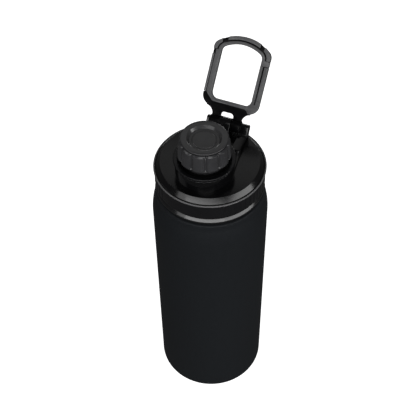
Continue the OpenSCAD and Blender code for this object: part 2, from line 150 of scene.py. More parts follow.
class Workpiece:
    """A mesh in the making. Its methods take millimetres."""

    def __init__(self) -> None:
        """Starts with an empty mesh."""
        self.bm = bmesh.new()

    def _start(self, points: Sequence[Vector], closed: bool) -> tuple[list, list]:
        """Lays down the vertices and edges of a wire.

        Args:
            points: The wire's points, in three dimensions.
            closed: Whether the last point joins the first.

        Returns:
            The vertices and the edges.
        """
        verts = [self.bm.verts.new(p * MM) for p in points]
        pairs = list(zip(verts, verts[1:])) + ([(verts[-1], verts[0])] if closed else [])
        return verts, [self.bm.edges.new(pair) for pair in pairs]

    def _since(self, known: set) -> list:
        """The vertices made since the known ones."""
        return [v for v in self.bm.verts if v not in known]

    def lathe(self, outline: Outline, axis: tuple[float, float] = (0, 0), steps: int = 144,
              closed: bool = True) -> "Workpiece":
        """Turns an outline of radius and height about a vertical axis.

        Args:
            outline: Points of (radius, height).
            axis: Where the axis stands.
            steps: Segments in the full turn.
            closed: False for an outline that starts and ends on the axis.

        Returns:
            This workpiece.
        """
        known = set(self.bm.verts)
        wire = [Vector((axis[0] + p.x, axis[1], p.y)) for p in outline]
        verts, edges = self._start(wire, closed)
        bmesh.ops.spin(self.bm, geom=verts + edges, cent=(axis[0] * MM, axis[1] * MM, 0), axis=(0, 0, 1),
                       dvec=(0, 0, 0), angle=FULL_TURN, steps=steps, use_merge=True, use_duplicate=False)
        bmesh.ops.remove_doubles(self.bm, verts=self._since(known), dist=1e-7)
        return self

    def ridge(self, root: float, crest: float, height: float, turns: float, thread: "Thread",
              axis: tuple[float, float] = (0, 0), start: float = 0.0) -> "Workpiece":
        """Winds a thread ridge with tapered ends round a vertical axis.

        Args:
            root: Radius where the ridge leaves its wall.
            crest: Radius of the ridge's top.
            height: Height of the ridge's middle at its start.
            turns: How far it goes round.
            thread: The ridge's widths and pitch.
            axis: Where the axis stands.
            start: Angle of the start, in degrees.

        Returns:
            This workpiece.
        """
        known = set(self.bm.verts)
        half, top = thread.root_width / 2, thread.crest_width / 2
        section = [(root, -half), (crest, -top), (crest, top), (root, half)]
        spot = Vector((axis[0], axis[1], 0))
        turn = Matrix.Rotation(math.radians(start), 3, "Z")
        wire = [spot + turn @ Vector((r, 0, height + z)) for r, z in section]
        verts, edges = self._start(wire, True)
        face = bmesh.ops.contextual_create(self.bm, geom=edges)["faces"]
        steps = round(turns * thread.steps)
        bmesh.ops.spin(self.bm, geom=verts + edges + face, cent=spot * MM, axis=(0, 0, 1),
                       dvec=(0, 0, thread.pitch * MM / thread.steps), angle=FULL_TURN * turns,
                       steps=steps, use_merge=False, use_duplicate=False)
        span = turns * thread.pitch
        for v in self._since(known):
            offset = v.co / MM - spot
            radius = math.hypot(offset.x, offset.y)
            run = min(offset.z - height, height + span - offset.z) / thread.pitch
            taper = min(1.0, max(0.12, run / thread.taper + 0.5))
            scale = (root + (radius - root) * taper) / radius
            v.co = (spot + Vector((offset.x * scale, offset.y * scale, offset.z))) * MM
        return self

    def plate(self, outline: Outline, thickness: float, soften: float = 0.3, place: Matrix | None = None,
              sharp: Callable[[Vector], bool] | None = None) -> "Workpiece":
        """Makes a plate with softened edges from a closed outline.

        Args:
            outline: The plate's outline, across its thickness.
            thickness: Its thickness, centred on the outline's plane.
            soften: Width of the rounded edges.
            place: Turns and moves the plate, in millimetres.
            sharp: Says which points of the outline, in millimetres, keep their sharp edges.

        Returns:
            This workpiece.
        """
        known = set(self.bm.verts)
        _, edges = self._start([Vector((p.x, p.y, -thickness / 2)) for p in outline], True)
        faces = bmesh.ops.contextual_create(self.bm, geom=edges)["faces"]
        return self._thicken(known, faces, thickness, soften, place, sharp)

    def band(self, inner: Outline, outer: Outline, thickness: float, soften: float = 0.3,
             place: Matrix | None = None) -> "Workpiece":
        """Makes a flat ring with softened edges between two closed outlines.

        Args:
            inner: Outline of the opening.
            outer: Outline of the rim.
            thickness: The ring's thickness, centred on the outlines' plane.
            soften: Width of the rounded edges.
            place: Turns and moves the ring, in millimetres.

        Returns:
            This workpiece.
        """
        known = set(self.bm.verts)
        edges = []
        for loop in (inner, outer):
            edges += self._start([Vector((p.x, p.y, -thickness / 2)) for p in loop], True)[1]
        faces = bmesh.ops.bridge_loops(self.bm, edges=edges)["faces"]
        return self._thicken(known, faces, thickness, soften, place)

    def _thicken(self, known: set, faces: list, thickness: float, soften: float, place: Matrix | None,
                 sharp: Callable[[Vector], bool] | None = None) -> "Workpiece":
        """Extrudes flat faces, rounds the sharp edges and puts the result in place.

        Args:
            known: The vertices that were there before.
            faces: The flat faces.
            thickness: How far they are extruded.
            soften: Width of the rounded edges.
            place: Turns and moves the result, in millimetres.
            sharp: Says which points keep their sharp edges.

        Returns:
            This workpiece.
        """
        grown = bmesh.ops.extrude_face_region(self.bm, geom=faces, use_keep_orig=True)["geom"]
        top = [g for g in grown if isinstance(g, bmesh.types.BMVert)]
        bmesh.ops.translate(self.bm, verts=top, vec=(0, 0, thickness * MM))
        self.soften(known, soften, sharp)
        if place is not None:
            metres = Matrix.Scale(MM, 4) @ place @ Matrix.Scale(1 / MM, 4)
            bmesh.ops.transform(self.bm, matrix=metres, verts=self._since(known))
        return self

    def soften(self, known: set, width: float,
               sharp: Callable[[Vector], bool] | None = None) -> "Workpiece":
        """Rounds the sharp edges between vertices that aren't among the known ones.

        Args:
            known: Vertices to leave alone.
            width: Width of the rounded edges.
            sharp: Says which points, in millimetres, keep their sharp edges.

        Returns:
            This workpiece.
        """
        fresh = set(self._since(known))
        kept = {v for v in fresh if sharp is not None and sharp(v.co / MM)}
        edges = [e for e in self.bm.edges if fresh.issuperset(e.verts) and not kept.issuperset(e.verts)
                 and len(e.link_faces) == 2 and e.calc_face_angle(0) > math.radians(35)]
        bmesh.ops.bevel(self.bm, geom=edges, offset=width * MM, offset_type="OFFSET", segments=3,
                        profile=0.5, affect="EDGES", clamp_overlap=True, material=-1)
        return self

    def coil(self, radius: float, wire: float, heights: Sequence[float]) -> "Workpiece":
        """Adds closed rings of round wire about the vertical axis.

        Args:
            radius: Radius of a ring, to the middle of its wire.
            wire: Radius of the wire.
            heights: Height of each ring.

        Returns:
            This workpiece.
        """
        for height in heights:
            self.lathe(turned_arc(radius, height, wire, 0, 360, 10)[:-1], steps=40)
        return self

    def take(self, other: "Workpiece") -> "Workpiece":
        """Moves another workpiece's mesh into this one.

        Args:
            other: The workpiece to take, which is used up.

        Returns:
            This workpiece.
        """
        carried = bpy.data.meshes.new("carried")
        other.bm.to_mesh(carried)
        other.bm.free()
        self.bm.from_mesh(carried)
        bpy.data.meshes.remove(carried)
        return self

    def shape(self, rule: Callable[[Vector], Vector]) -> "Workpiece":
        """Moves every vertex by a rule.

        Args:
            rule: Takes a vertex's place and returns its new one, in millimetres.

        Returns:
            This workpiece.
        """
        for v in self.bm.verts:
            v.co = rule(v.co / MM) * MM
        return self

    def finish(self, name: str, material: bpy.types.Material, seat: Seat,
               crease: float = 38.0) -> bpy.types.Object:
        """Turns the workpiece into a piece of the bottle.

        Args:
            name: The piece's name.
            material: Its finish.
            seat: Where it belongs.
            crease: Edges sharper than this stay sharp, in degrees.

        Returns:
            The piece.
        """
        bmesh.ops.recalc_face_normals(self.bm, faces=self.bm.faces)
        mesh = bpy.data.meshes.new(name)
        self.bm.to_mesh(mesh)
        self.bm.free()
        mesh.shade_smooth()
        mesh.set_sharp_from_angle(angle=math.radians(crease))
        mesh.materials.append(material)
        piece = bpy.data.objects.new(name, mesh)
        bpy.context.scene.collection.objects.link(piece)
        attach(piece, seat.body)
        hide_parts(*seat.nodes)
        LOG.info("%s rides on %s: %d faces", name, seat.body, len(mesh.polygons))
        return piece


@dataclass(frozen=True)
class Thread:
    """Section and climb of a screw thread."""

    pitch: float = 4.0
    root_width: float = 1.7
    crest_width: float = 0.85
    steps: int = 72
    taper: float = 0.12


# ------------------------------------------------------------------- materials


class Value:
    """A number in a material. Sums with it add Math nodes."""

    def __init__(self, bench: "Bench", socket: bpy.types.NodeSocket) -> None:
        """Wraps an output socket of one of the bench's nodes."""
        self.bench = bench
        self.socket = socket

    def __add__(self, other: "Value | float") -> "Value":
        """Sum."""
        return self.bench.math("ADD", self, other)

    __radd__ = __add__

    def __mul__(self, other: "Value | float") -> "Value":
        """Product."""
        return self.bench.math("MULTIPLY", self, other)

    __rmul__ = __mul__

    def __sub__(self, other: "Value | float") -> "Value":
        """Difference."""
        return self.bench.math("SUBTRACT", self, other)

    def __rsub__(self, other: float) -> "Value":
        """Difference from a number."""
        return self.bench.math("SUBTRACT", other, self)

    def __truediv__(self, other: "Value | float") -> "Value":
        """Quotient."""
        return self.bench.math("DIVIDE", self, other)

    def between(self, low: float, high: float) -> "Value":
        """Turns the value into a smooth step.

        Args:
            low: Where the step is 0.
            high: Where the step is 1.

        Returns:
            The step.
        """
        settings = {"interpolation_type": "SMOOTHSTEP"}
        links = {"Value": self, "From Min": low, "From Max": high}
        return Value(self.bench, self.bench.node("ShaderNodeMapRange", settings, links).outputs["Result"])


class Bench:
    """Builds one material, node by node."""

    def __init__(self, name: str) -> None:
        """Starts a material with its Principled shader.

        Args:
            name: The material's name.
        """
        self.material = bpy.data.materials.new(name)
        self.material.use_nodes = True
        self.tree = self.material.node_tree
        self.tree.nodes.clear()
        self.shader = self.node("ShaderNodeBsdfPrincipled")
        output = self.node("ShaderNodeOutputMaterial")
        self.tree.links.new(self.shader.outputs["BSDF"], output.inputs["Surface"])
        self.place = self.node("ShaderNodeTexCoord").outputs["Object"]

    def node(self, kind: str, settings: Mapping[str, object] | None = None,
             inputs: Mapping[str | int, object] | None = None) -> bpy.types.Node:
        """Adds a node.

        Args:
            kind: The node's type.
            settings: Its properties, which are set first.
            inputs: Values, sockets or Values for its input sockets, by name or number.

        Returns:
            The node.
        """
        made = self.tree.nodes.new(kind)
        for key, value in (settings or {}).items():
            setattr(made, key, value)
        for key, value in (inputs or {}).items():
            self.feed(made.inputs[key], value)
        return made

    def feed(self, socket: bpy.types.NodeSocket, value: object) -> None:
        """Links or sets one input socket.

        Args:
            socket: The input.
            value: A Value or an output to link, or a plain value to set.
        """
        if isinstance(value, Value):
            value = value.socket
        if isinstance(value, bpy.types.NodeSocket):
            self.tree.links.new(value, socket)
        else:
            socket.default_value = value

    def math(self, operation: str, first: Value | float, second: Value | float) -> Value:
        """Adds a Math node."""
        made = self.node("ShaderNodeMath", {"operation": operation}, {0: first, 1: second})
        return Value(self, made.outputs[0])

    def stretched(self, scale: tuple[float, float, float]) -> bpy.types.NodeSocket:
        """The place on the piece, scaled along each axis."""
        return self.node("ShaderNodeMapping", None, {"Vector": self.place, "Scale": scale}).outputs[0]

    def noise(self, grain: float, detail: float = 3.0, roughness: float = 0.5,
              stretch: tuple[float, float, float] = (1, 1, 1)) -> Value:
        """Noise whose spots are about grain millimetres wide.

        Args:
            grain: Width of a spot.
            detail: Octaves.
            roughness: Share of the finer octaves.
            stretch: Scale along each axis.

        Returns:
            The noise, about 0.5 on average.
        """
        made = self.node("ShaderNodeTexNoise", None, {
            "Vector": self.stretched(stretch), "Scale": 1 / (grain * MM), "Detail": detail,
            "Roughness": roughness})
        return Value(self, made.outputs["Fac"])

    def cells(self, grain: float) -> Value:
        """Distance to the middle of the nearest of many cells about grain millimetres wide."""
        made = self.node("ShaderNodeTexVoronoi", None, {"Vector": self.place, "Scale": 1 / (grain * MM)})
        return Value(self, made.outputs["Distance"])

    def height(self) -> Value:
        """Height above the base, in millimetres."""
        split = self.node("ShaderNodeSeparateXYZ", None, {"Vector": self.place})
        return Value(self, split.outputs["Z"]) / MM

    def blend(self, share: Value, low: Sequence[float] | bpy.types.NodeSocket,
              high: Sequence[float] | bpy.types.NodeSocket) -> bpy.types.NodeSocket:
        """Mixes two colours by a share."""
        made = self.node("ShaderNodeMix", {"data_type": "RGBA"}, {"Factor": share, 6: low, 7: high})
        return made.outputs[2]

    def bump(self, height: Value, depth: float) -> None:
        """Roughens the surface.

        Args:
            height: The relief, from 0 to 1.
            depth: How deep the relief is, in millimetres.
        """
        inputs = {"Strength": 1.0, "Distance": depth * MM, "Height": height}
        made = self.node("ShaderNodeBump", None, inputs)
        self.feed(self.shader.inputs["Normal"], made.outputs["Normal"])

    def set(self, **values: object) -> None:
        """Sets the shader's sockets, with underscores for the spaces in their names."""
        for key, value in values.items():
            self.feed(self.shader.inputs[key.replace("_", " ").title().replace("Ior", "IOR")], value)


def shade(colour: Sequence[float], factor: float) -> tuple[float, float, float, float]:
    """A colour made lighter or darker, with full alpha."""
    return (*(min(1.0, c * factor) for c in colour), 1.0)


@dataclass(frozen=True)
class PowderCoat:
    """Baked powder paint: a fine pebbled skin, worn thin along the foot."""

    name: str
    colour: tuple[float, float, float]
    roughness: float = 0.42
    pebble: float = 0.28
    peel: float = 1.6
    depth: float = 0.022
    foot: float = 1.3
    specular: float = 0.12

    def material(self) -> bpy.types.Material:
        """Builds the finish.

        Returns:
            The material.
        """
        bench = Bench(self.name)
        pebble = bench.noise(self.pebble, 2.0)
        peel = bench.noise(self.peel, 2.0)
        hands = bench.noise(26.0, 4.0, 0.6, (1, 1, 0.45))
        scuffs = bench.noise(1.1, 5.0, 0.75, (1, 1, 2.5)).between(0.55, 0.7)
        foot = (1 - bench.height().between(0.2, self.foot)) * scuffs
        coat = bench.blend(pebble.between(0.3, 0.75), shade(self.colour, 0.86), shade(self.colour, 1.2))
        worn = bench.blend(foot * 0.6, coat, (0.16, 0.16, 0.17, 1))
        bench.set(base_color=worn, roughness=self.roughness + 0.1 * hands + 0.05 * pebble - 0.07)
        bench.set(specular_ior_level=self.specular)
        bench.bump(pebble * 0.7 + peel * 0.6, self.depth)
        return bench.material


@dataclass(frozen=True)
class Moulded:
    """Moulded plastic or rubber: an even colour with a fine spark-eroded grain."""

    name: str
    colour: tuple[float, float, float]
    roughness: float
    grain: float = 0.35
    depth: float = 0.008
    spread: float = 0.1
    coat: float = 0.0
    specular: float = 0.5
    subsurface: float = 0.0

    def material(self) -> bpy.types.Material:
        """Builds the finish.

        Returns:
            The material.
        """
        bench = Bench(self.name)
        grain = bench.noise(self.grain, 3.0, 0.6)
        flow = bench.noise(9.0, 4.0, 0.55)
        rubs = bench.noise(2.2, 5.0, 0.7, (1, 1, 0.35)).between(0.48, 0.74)
        bench.set(base_color=bench.blend(flow.between(0.25, 0.8), shade(self.colour, 1 - self.spread),
                                         shade(self.colour, 1 + 1.5 * self.spread)))
        bench.set(roughness=self.roughness + 0.06 * flow + 0.05 * rubs - 0.045)
        bench.set(specular_ior_level=self.specular, coat_weight=self.coat, coat_roughness=0.12,
                  subsurface_weight=self.subsurface)
        bench.bump(grain + flow * 0.35, self.depth)
        return bench.material


@dataclass(frozen=True)
class TurnedSteel:
    """Stainless steel with fine lines that run round or along the piece."""

    name: str
    colour: tuple[float, float, float]
    roughness: float = 0.3
    lines: tuple[float, float, float] = (0.06, 0.06, 6.0)
    depth: float = 0.006
    dullness: float = 0.12

    def material(self) -> bpy.types.Material:
        """Builds the finish.

        Returns:
            The material.
        """
        bench = Bench(self.name)
        lines = bench.noise(0.8, 4.0, 0.65, self.lines)
        bloom = bench.noise(12.0, 3.0)
        bench.set(base_color=bench.blend(lines, shade(self.colour, 0.82), shade(self.colour, 1.12)))
        bench.set(roughness=self.roughness + self.dullness * bloom + 0.12 * lines - 0.09, metallic=1.0)
        bench.bump(lines, self.depth)
        return bench.material


@dataclass(frozen=True)
class Foam:
    """Closed-cell foam."""

    name: str
    colour: tuple[float, float, float]
    cell: float = 0.9

    def material(self) -> bpy.types.Material:
        """Builds the finish.

        Returns:
            The material.
        """
        bench = Bench(self.name)
        cells = bench.cells(self.cell)
        bench.set(base_color=bench.blend(cells, shade(self.colour, 1.05), shade(self.colour, 0.7)))
        bench.set(roughness=0.85 + 0.1 * cells)
        bench.bump(1 - cells, 0.12)
        return bench.material


class Finishes(Enum):
    """The finishes that the bottle's pieces take."""

    POWDER = PowderCoat("powder_coat_black", (0.0165, 0.0185, 0.021))
    STEEL = TurnedSteel("stainless_steel", (0.62, 0.62, 0.63))
    BASE_STEEL = TurnedSteel("base_steel", (0.42, 0.42, 0.43), 0.36)
    SOLDER = Moulded("solder_disc", (0.3, 0.3, 0.31), 0.5)
    GETTER = Moulded("getter_pellet", (0.16, 0.16, 0.17), 0.8, 0.25, 0.04)
    PIN_STEEL = TurnedSteel("pin_steel", (0.5, 0.5, 0.51), 0.26, (6.0, 0.2, 0.2))
    SPRING_STEEL = TurnedSteel("spring_steel", (0.55, 0.55, 0.56), 0.3, (3.0, 3.0, 3.0))
    SEAL = Moulded("black_silicone", (0.012, 0.012, 0.012), 0.62, 0.5, 0.006)
    CLEAR_SEAL = Moulded("clear_silicone", (0.62, 0.62, 0.6), 0.45, 0.6, 0.006, subsurface=0.2)
    DECK = Moulded("lid_gloss_black", (0.003, 0.003, 0.0035), 0.2, 0.5, 0.0018, 0.06, coat=0.3)
    SPOUT = Moulded("spout_satin_black", (0.005, 0.005, 0.006), 0.24, 0.45, 0.003)
    GRIP = Moulded("grip_black", (0.009, 0.009, 0.01), 0.3, 0.3, 0.006)
    # Light grey grip rim: a painted highlight for the light caught along the rim's rounded top edge, not the
    # plastic's own colour.
    GRIP_RIM_PAINTED_HIGHLIGHT = Moulded("grip_rim_painted_highlight", (0.17, 0.17, 0.173), 0.26, 0.4, 0.002, 0.05)
    COLLAR = Moulded("collar_gloss_black", (0.01, 0.01, 0.011), 0.22, 0.5, 0.002, 0.06, coat=0.5)
    LINER = Moulded("liner_black", (0.02, 0.02, 0.021), 0.4, 0.4, 0.006)
    HINGE = Moulded("hinge_black", (0.005, 0.005, 0.0055), 0.22, 0.3, 0.005, coat=0.2)
    KNOB = Moulded("knob_charcoal", (0.045, 0.045, 0.048), 0.2, 0.3, 0.004, coat=0.5)
    DISC = Moulded("cap_disc_charcoal", (0.055, 0.055, 0.057), 0.17, 0.3, 0.003, coat=0.5)
    LOOP_BLACK = Moulded("loop_black", (0.002, 0.002, 0.0025), 0.36, 0.3, 0.008, specular=0.18)
    LOOP_GREY = Moulded("loop_grey", (0.15, 0.15, 0.154), 0.26, 0.28, 0.01)
    FOAM = Foam("closed_cell_foam", (0.78, 0.76, 0.7))


class Paintshop:
    """Makes each finish once."""

    def __init__(self) -> None:
        """Starts with no finish made."""
        self.made: dict[Finishes, bpy.types.Material] = {}

    def __getitem__(self, finish: Finishes) -> bpy.types.Material:
        """Looks a finish up, and makes it the first time.

        Args:
            finish: The finish.

        Returns:
            Its material.
        """
        if finish not in self.made:
            self.made[finish] = finish.value.material()
        return self.made[finish]

    def dress(self, node: str, finish: Finishes) -> None:
        """Gives a CAD node that stays on show a finish.

        Args:
            node: The node's name.
            finish: The finish.
        """
        materials = frame["nodes"][node].data.materials
        materials.clear()
        materials.append(self[finish])
        LOG.info("%s keeps its CAD mesh in %s", node, finish.name)


# ------------------------------------------------------------------ the bottle


@dataclass
class Bottle:
    """Double-wall steel body: outer shell, inner flask and base."""

    paint: Paintshop
    radius: float = 36.5
    lip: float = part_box("outer_shell")[1].z / MM
    neck: float = 34.2
    mouth: float = 29.7
    wall: float = 0.5
    foot: float = 30.5
    corner: float = 1.5
    shoulder_curve: float = 50.0
    neck_step: float = 5.2
    roll: float = 1.2
    flask_gap: float = 3.0
    flask_floor: float = 5.0
    plate: float = 2.6
    thread: Thread = field(default_factory=Thread)

    def _shoulder(self, inset: float, top_down: bool) -> Outline:
        """The shoulder's arc.

        Args:
            inset: How far the arc is pulled in.
            top_down: Whether it runs from the neck down.

        Returns:
            The arc's points.
        """
        rise = math.sqrt(self.shoulder_curve ** 2 - (self.shoulder_curve - self.radius + self.neck) ** 2)
        end = math.degrees(math.asin(rise / self.shoulder_curve))
        low = self.lip - self.neck_step - rise
        start, stop = (end, 0.0) if top_down else (0.0, end)
        middle, radius = self.radius - self.shoulder_curve, self.shoulder_curve - inset
        return turned_arc(middle, low, radius, start, stop, 16)

    def shell(self) -> None:
        """Outer wall with its shoulder, neck step and rolled lip."""
        bend = self.radius - self.corner
        roll = self.neck - self.roll
        outline = (
            [Vector((self.foot, 0))]
            + turned_arc(bend, self.corner, self.corner, -90, 0, 8)
            + straight([(self.radius, 40), (self.radius, 80), (self.radius, 120)])
            + self._shoulder(0, False)
            + turned_arc(roll, self.lip - self.roll, self.roll, 0, 90, 6)
            + straight([(self.mouth + self.wall, self.lip), (self.mouth + self.wall, self.lip - self.wall)])
            + turned_arc(roll, self.lip - self.roll, self.roll - self.wall, 90, 0, 4)
            + self._shoulder(self.wall, True)
            + straight([(self.radius - self.wall, 120), (self.radius - self.wall, 60)])
            + turned_arc(bend, self.corner, self.corner - self.wall, 0, -90, 4)
            + [Vector((self.foot, self.wall))])
        work = Workpiece().lathe(outline, steps=192)
        work.finish(
            "shell", self.paint[Finishes.POWDER], Seat("bottle", ("outer_shell",), "powder_coat"))

    def flask(self) -> None:
        """Inner flask with the neck's thread."""
        outer = self.radius - self.flask_gap
        neck = self.mouth + self.wall
        floor = self.flask_floor
        outside = rounded([Corner(0, floor), Corner(outer, floor, 6), Corner(outer, self.lip - 20, 14),
                           Corner(neck, self.lip - 12, 10), Corner(neck, self.lip)], 8, False)
        inner, bed = outer - self.wall, floor + self.wall
        inside = rounded([Corner(self.mouth, self.lip), Corner(self.mouth, self.lip - 12.2, 10),
                          Corner(inner, self.lip - 20.2, 14), Corner(inner, bed, 6), Corner(0, bed)], 8, False)
        work = Workpiece().lathe(outside + inside, steps=144, closed=False)
        work.ridge(self.mouth + 0.3, self.mouth - 1.2, self.lip - 11.5, 2.25, self.thread)
        work.finish("flask", self.paint[Finishes.STEEL], Seat("bottle", ("inner_vessel",), "steel"))

    def base(self) -> None:
        """Recessed plate, the disc over the port and the soft pad."""
        low, high = self.plate, self.plate + self.wall
        plate = rounded([Corner(0, low), Corner(26, low, 0.8), Corner(27.4, self.wall, 0.8),
                         Corner(33, self.wall), Corner(33, 2 * self.wall), Corner(27.8, 2 * self.wall, 0.6),
                         Corner(26.4, high, 0.8), Corner(0, high)], 4, False)
        Workpiece().lathe(plate, closed=False).finish(
            "base_plate_pressed", self.paint[Finishes.BASE_STEEL],
            Seat("bottle", ("base_plate",), "base_steel"))
        cover = rounded([Corner(0, 2.1), Corner(5.4, 2.1, 0.4), Corner(6, low), Corner(0, low)], 4, False)
        Workpiece().lathe(cover, steps=64, closed=False).finish(
            "port_cover", self.paint[Finishes.SOLDER], Seat("bottle", ("vacuum_plug",), "solder"))
        pad = rounded([Corner(0, 0.35), Corner(20.5, 0.35, 0.4), Corner(21.2, 0, 0.3), Corner(25.4, 0, 0.6),
                       Corner(25.4, 2.55), Corner(6.2, 2.55), Corner(6.2, 2.0), Corner(0, 2.0)], 4, False)
        Workpiece().lathe(pad, closed=False).finish(
            "foot_pad", self.paint[Finishes.SEAL], Seat("bottle", ("base_pad",), "black_silicone"))

    def build(self) -> None:
        """Makes the body's pieces."""
        self.shell()
        self.flask()
        self.base()
        self.paint.dress("getter", Finishes.GETTER)


# --------------------------------------------------------------------- the lid


@dataclass
class Lid:
    """Screw lid: deck and spout boss, grip ring, collar bead, liner and seal."""

    paint: Paintshop
    lip: float
    spout_y: float = -8.5
    deck: float = 30.6
    core: float = 31.2
    grip: float = 33.9
    boss: float = 17.7
    tube: float = 16.4
    bore: float = 15.0
    throat: float = 12.6
    lip_flare: float = 18.7
    seal_in: float = 29.9
    core_rise: float = 5.4
    grip_rise: float = 6.8
    rim_rise: float = 18.6
    edge_rise: float = 18.2
    deck_rise: float = 21.9
    deck_thickness: float = 2.5
    boss_rise: float = 29.9
    ribs: int = 60
    rib_zone: float = 56.0
    rib_depth: float = 0.42
    thread: Thread = field(default_factory=Thread)

    @property
    def spout(self) -> tuple[float, float]:
        """Where the spout's axis stands."""
        return (0.0, self.spout_y)

    @property
    def deck_height(self) -> float:
        """Height of the deck."""
        return self.lip + self.deck_rise

    def seal(self) -> None:
        """Ring seal on the bottle's lip."""
        low, high = self.lip, self.lip + 1
        outline = rounded([Corner(self.seal_in, low), Corner(32.4, low, 0.3), Corner(32.4, high, 0.3),
                           Corner(self.seal_in, high)])
        Workpiece().lathe(outline).finish(
            "lip_seal", self.paint[Finishes.SEAL], Seat("lid_seal", ("lid_gasket",), "black_silicone"))

    def top(self) -> None:
        """Deck, glossy bevel, inner wall and boss."""
        deck = self.deck_height
        edge = self.lip + self.edge_rise
        under = deck - self.deck_thickness
        core, boss = self.lip + self.core_rise, self.lip + self.boss_rise
        work = Workpiece()
        work.lathe(rounded([
            Corner(0, under), Corner(28.7, under), Corner(28.7, core), Corner(self.core, core),
            Corner(self.core, edge - 0.4), Corner(33.3, edge - 0.4), Corner(33.3, edge + 0.1),
            Corner(32.8, edge + 0.3, 0.15), Corner(self.deck, deck, 0.35), Corner(0, deck)], 5, False),
            steps=192, closed=False)
        work.lathe(rounded([
            Corner(self.tube + 0.1, deck - 1.5), Corner(self.boss, deck - 1.5), Corner(self.boss, deck - 0.2),
            Corner(self.boss, boss, 0.2), Corner(self.tube + 0.1, boss)]), self.spout, steps=160)
        work.finish("lid_deck", self.paint[Finishes.DECK], Seat("lid", ("lid_top",), "lid_black"))

    def _rib_cut(self, place: Vector) -> Vector:
        """Sinks a vertex of the grip ring where a groove runs.

        Args:
            place: Where the vertex is.

        Returns:
            Where it goes.
        """
        radius = math.hypot(place.x, place.y)
        low, high = self.lip + self.grip_rise, self.lip + 17.0
        if radius < self.grip - 1:
            return place
        side = math.degrees(math.atan2(place.y, abs(place.x)))
        step = 360 / self.ribs
        off = abs((side + step / 2) % step - step / 2) / step
        groove = max(0.0, 1 - (off / 0.17) ** 2) ** 0.7
        zone = min(1.0, max(0.0, (self.rib_zone + step / 2 - abs(side)) / 1.0))
        top = min(1.0, max(0.0, (high - place.z) / 0.7))
        cut = self.rib_depth * groove * zone * top
        scale = (radius - cut) / radius
        return Vector((place.x * scale, place.y * scale, place.z if place.z > low else low))

    def grip_ring(self) -> None:
        """Ribbed skirt with a thin rounded rim along its top; the rim is painted light grey as a painted
        highlight.
        """
        low, high = self.lip + self.grip_rise, self.lip + self.rim_rise
        wall = [Corner(self.core + 0.1, low), Corner(self.grip, low, 0.35)]
        wall += [Corner(self.grip - 0.012 * z, low + z) for z in (1, 3, 5, 7, 9, 9.6, 10.0, 10.4)]
        wall += [Corner(self.grip - 0.14, high - 1), Corner(self.core + 0.1, high - 1)]
        work = Workpiece().lathe(rounded(wall, 5), steps=self.ribs * 14)
        work.shape(self._rib_cut)
        work.finish("grip", self.paint[Finishes.GRIP], Seat("lid", ("grip_ring",), "grip_black"), 50)
        # The rim's light grey finish is a painted highlight along the top of the grip.
        inner, outer = self.grip - 0.5, self.grip + 0.5
        rim = rounded([Corner(inner, high - 1.02), Corner(outer, high - 1.02, 0.35), Corner(outer, high, 0.48),
                       Corner(inner, high, 0.45)], 6)
        Workpiece().lathe(rim, steps=240).finish(
            "grip_rim", self.paint[Finishes.GRIP_RIM_PAINTED_HIGHLIGHT], Seat("lid", ("grip_ring",), "grip_black"))

    def collar(self) -> None:
        """Glossy bead between the grip and the bottle."""
        low, high = self.lip + 1, self.lip + 5.2
        outline = rounded([Corner(self.core + 0.1, low), Corner(self.grip - 1.1, low, 0.5),
                           Corner(self.grip - 0.1, low + 1.1, 0.9), Corner(self.grip - 0.1, high - 2.0, 0.4),
                           Corner(self.grip - 1.35, high, 0.35), Corner(self.core + 0.1, high)], 6)
        Workpiece().lathe(outline, steps=192).finish(
            "collar_bead", self.paint[Finishes.COLLAR], Seat("lid", ("collar_ring",), "collar_black"))

    def liner(self) -> None:
        """Threaded plug with the floor that faces the drink."""
        plug, low = 27.9, self.lip - 18.2
        top = self.lip + self.core_rise
        hole = self.throat + 1.7
        work = Workpiece()
        work.lathe(rounded([
            Corner(plug - 2, low + 2), Corner(plug - 2, top), Corner(self.core, top),
            Corner(self.core, self.lip + 1), Corner(plug, self.lip + 1, 0.3), Corner(plug, low, 1.5),
            Corner(plug - 4.2, low, 0.4), Corner(plug - 4.6, low + 0.6), Corner(plug - 4.6, low + 2)], 5))
        inner = turned_arc(0, self.spout_y, hole, 0, 360, 72)[:-1]
        outer = turned_arc(0, 0, plug - 4.5, 0, 360, 72)[:-1]
        work.band(inner, outer, 2, 0.25, Matrix.Translation((0, 0, low + 1.6)))
        work.ridge(plug - 0.3, plug + 1.3, self.lip - 15.5, 2.5, self.thread, start=180)
        work.finish("lid_plug", self.paint[Finishes.LINER], Seat("lid", ("lid_liner",), "liner_black"))

    def spout_tube(self) -> None:
        """Pouring tube with the thin flared drinking lip and the cap's thread."""
        low, seat, top = self.lip - 19, self.lip + 16.2, self.lip + 32.8
        outline = rounded([
            Corner(self.throat, low, 0.4), Corner(self.throat + 1.6, low, 0.4),
            Corner(self.throat + 1.6, seat - 2), Corner(self.tube, seat - 2, 0.5),
            Corner(self.tube, self.lip + 30), Corner(self.boss + 0.1, self.lip + 30, 0.3),
            Corner(self.boss + 0.15, self.lip + 30.7, 0.8), Corner(self.lip_flare, self.lip + 31.9, 0.5),
            Corner(self.lip_flare, top, 0.42), Corner(self.bore + 1.3, top, 0.5),
            Corner(self.bore + 0.5, top - 0.9, 0.5), Corner(self.bore, top - 2.2, 0.6),
            Corner(self.bore, seat, 0.4), Corner(self.throat, seat, 0.4)], 6)
        work = Workpiece().lathe(outline, self.spout, steps=160)
        work.ridge(self.bore + 0.3, self.bore - 1, self.lip + 20.8, 2, self.thread, self.spout)
        work.finish(
            "drinking_spout", self.paint[Finishes.SPOUT], Seat("lid", ("spout_tube",), "lid_black"))

    def build(self) -> None:
        """Makes the lid's pieces."""
        self.seal()
        self.top()
        self.grip_ring()
        self.collar()
        self.liner()
        self.spout_tube()
        self.paint.dress("lid_insulation", Finishes.FOAM)


